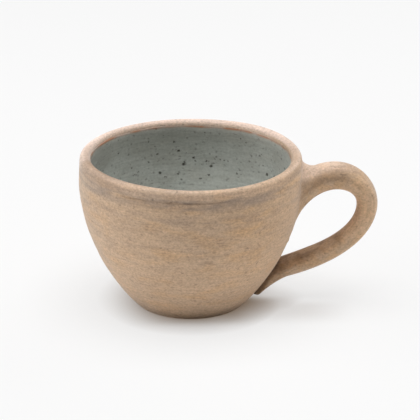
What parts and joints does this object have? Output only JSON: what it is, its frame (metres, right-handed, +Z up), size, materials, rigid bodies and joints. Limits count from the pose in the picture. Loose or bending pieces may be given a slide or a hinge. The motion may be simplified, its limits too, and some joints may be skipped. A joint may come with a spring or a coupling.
{
  "type": "latte cup",
  "caption": "Rounded latte cup in bare thrown stoneware with a speckled glaze lining and a looped strap handle luted to its wall.",
  "frame": {"origin": "centre of the flat foot, on the bowl's axis", "axes": "+Z up along the bowl's axis, +X from the axis towards the handle"},
  "size_m": [0.1451, 0.108, 0.0755],
  "materials": {
    "bare_stoneware": "unglazed sandy buff stoneware, fired bare, with grey and orange flashing along the throwing lines",
    "satin_glaze": "satin grey-green glaze with dark iron specks"
  },
  "bodies": {
    "root": {"bowl": "bare_stoneware", "glaze_lining": "satin_glaze", "handle": "bare_stoneware", "upper_luting": "bare_stoneware", "lower_luting": "bare_stoneware"}
  },
  "joints": []
}
